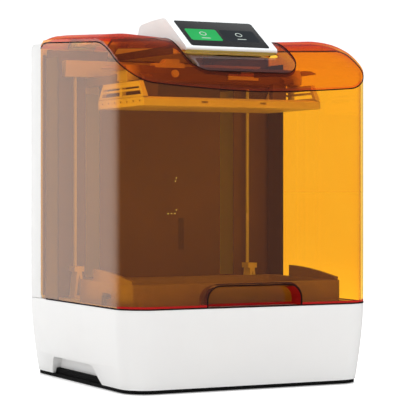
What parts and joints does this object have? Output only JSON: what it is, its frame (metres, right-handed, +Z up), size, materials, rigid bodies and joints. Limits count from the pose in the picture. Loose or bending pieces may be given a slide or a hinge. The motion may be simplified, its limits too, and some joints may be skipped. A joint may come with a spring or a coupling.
{
  "type": "resin printer",
  "caption": "Desktop resin 3D printer with an amber flip-up cover, a resin vat on a tilting bed, a platform on a lead screw and a touch screen head.",
  "frame": {"origin": "centre of the footprint on the ground plane", "axes": "+Z up, front faces -Y, +X is the printer's right seen from above with the front towards the viewer"},
  "size_m": [0.3008, 0.28, 0.4055],
  "materials": {
    "white_plastic": "satin white moulded plastic",
    "amber_plastic": "transparent amber that blocks ultraviolet light, polished",
    "black_plastic": "fine-grained black moulded plastic",
    "anodised_metal": "bead-blasted, clear anodised",
    "steel": "ground or brushed steel",
    "rubber": "moulded rubber",
    "dark_glass": "black-bordered glass",
    "clear_film": "clear release film",
    "circuit_board": "solder mask"
  },
  "bodies": {
    "frame": {"base_shell": "white_plastic", "rear_housing": "white_plastic", "head_housing": "white_plastic", "rear_liner": "black_plastic", "uv_light_housing": "black_plastic", "power_inlet": "black_plastic", "cooling_fan_frame": "black_plastic", "z_motor": "black_plastic", "tilt_motor": "black_plastic", "screw_end_bearing": "black_plastic", "top_beam": "anodised_metal", "stay_foot_left": "anodised_metal", "stay_foot_right": "anodised_metal", "uv_heat_sink": "anodised_metal", "uv_led_board": "anodised_metal", "power_supply": "anodised_metal", "base_plate": "steel", "chassis_deck": "steel", "linear_rail_left": "steel", "linear_rail_right": "steel", "stay_rod_left": "steel", "stay_rod_right": "steel", "hinge_bracket_left": "steel", "hinge_bracket_right": "steel", "hinge_pin_left": "steel", "hinge_pin_right": "steel", "tilt_pivot_pin": "steel", "usb_port": "steel", "foot_front_left": "rubber", "foot_front_right": "rubber", "foot_rear_left": "rubber", "foot_rear_right": "rubber", "touch_screen": "dark_glass", "uv_lens": "dark_glass", "mainboard": "circuit_board"},
    "cover": {"cover_shell": "amber_plastic", "cover_visor": "amber_plastic", "cover_scoop": "amber_plastic", "hinge_arm_left": "steel", "hinge_arm_right": "steel"},
    "platform": {"screw_nut": "anodised_metal", "carriage_beam": "anodised_metal", "rail_block_left": "steel", "rail_block_right": "steel", "platform_frame": "anodised_metal", "build_plate": "anodised_metal", "plate_truss_left": "anodised_metal", "plate_truss_right": "anodised_metal"},
    "release_lever_left": {"release_lever_left": "anodised_metal"},
    "release_lever_right": {"release_lever_right": "anodised_metal"},
    "screw": {"lead_screw": "steel"},
    "bed": {"tilt_bed": "anodised_metal", "lcd_panel": "dark_glass", "release_film": "clear_film", "vat_tub": "black_plastic"},
    "vat_clamp_left": {"vat_clamp_left": "black_plastic"},
    "vat_clamp_right": {"vat_clamp_right": "black_plastic"},
    "cam": {"tilt_cam": "steel"},
    "rocker": {"power_rocker": "black_plastic"},
    "fan": {"cooling_fan_rotor": "black_plastic"}
  },
  "joints": [
    {"name": "cover_flip", "type": "hinge", "parent": "frame", "child": "cover", "pos_m": [0, 0.1016, 0.384], "axis": [-1, 0, 0], "range_deg": [0, 78]},
    {"name": "platform_slide", "type": "slide", "parent": "frame", "child": "platform", "axis": [0, 0, 1], "range_m": [-0.2177, 0]},
    {"name": "screw_spin", "type": "hinge", "parent": "frame", "child": "screw", "pos_m": [0, 0.1055, 0.2], "axis": [0, 0, 1], "range_deg": [-9800, 0]},
    {"name": "bed_tilt", "type": "hinge", "parent": "frame", "child": "bed", "pos_m": [0.124, -0.004, 0.07], "axis": [0, -1, 0], "range_deg": [0, 2.3]},
    {"name": "cam_turn", "type": "hinge", "parent": "frame", "child": "cam", "pos_m": [-0.118, 0.038, 0.0485], "axis": [0, 1, 0], "range_deg": [0, 150]},
    {"name": "release_lever_left_flip", "type": "hinge", "parent": "platform", "child": "release_lever_left", "pos_m": [-0.113, -0.036, 0.3475], "axis": [0, 1, 0], "range_deg": [0, 70]},
    {"name": "release_lever_right_flip", "type": "hinge", "parent": "platform", "child": "release_lever_right", "pos_m": [0.113, -0.036, 0.3475], "axis": [0, -1, 0], "range_deg": [0, 70]},
    {"name": "vat_clamp_left_turn", "type": "hinge", "parent": "bed", "child": "vat_clamp_left", "pos_m": [-0.1305, -0.034, 0.095], "axis": [0, 0, -1], "range_deg": [0, 90]},
    {"name": "vat_clamp_right_turn", "type": "hinge", "parent": "bed", "child": "vat_clamp_right", "pos_m": [0.1305, -0.034, 0.095], "axis": [0, 0, 1], "range_deg": [0, 90]},
    {"name": "power_rocker_tip", "type": "hinge", "parent": "frame", "child": "rocker", "pos_m": [-0.066, 0.1315, 0.045], "axis": [1, 0, 0], "range_deg": [-7, 7]},
    {"name": "cooling_fan_spin", "type": "hinge", "parent": "frame", "child": "fan", "pos_m": [0.06, 0.1195, 0.0395], "axis": [0, 1, 0], "continuous": true}
  ],
  "couplings": [
    {"joint": "screw_spin", "follows": "platform_slide", "rad_per_m": 785.4},
    {"joint": "cam_turn", "follows": "bed_tilt", "ratio": 65.2}
  ]
}
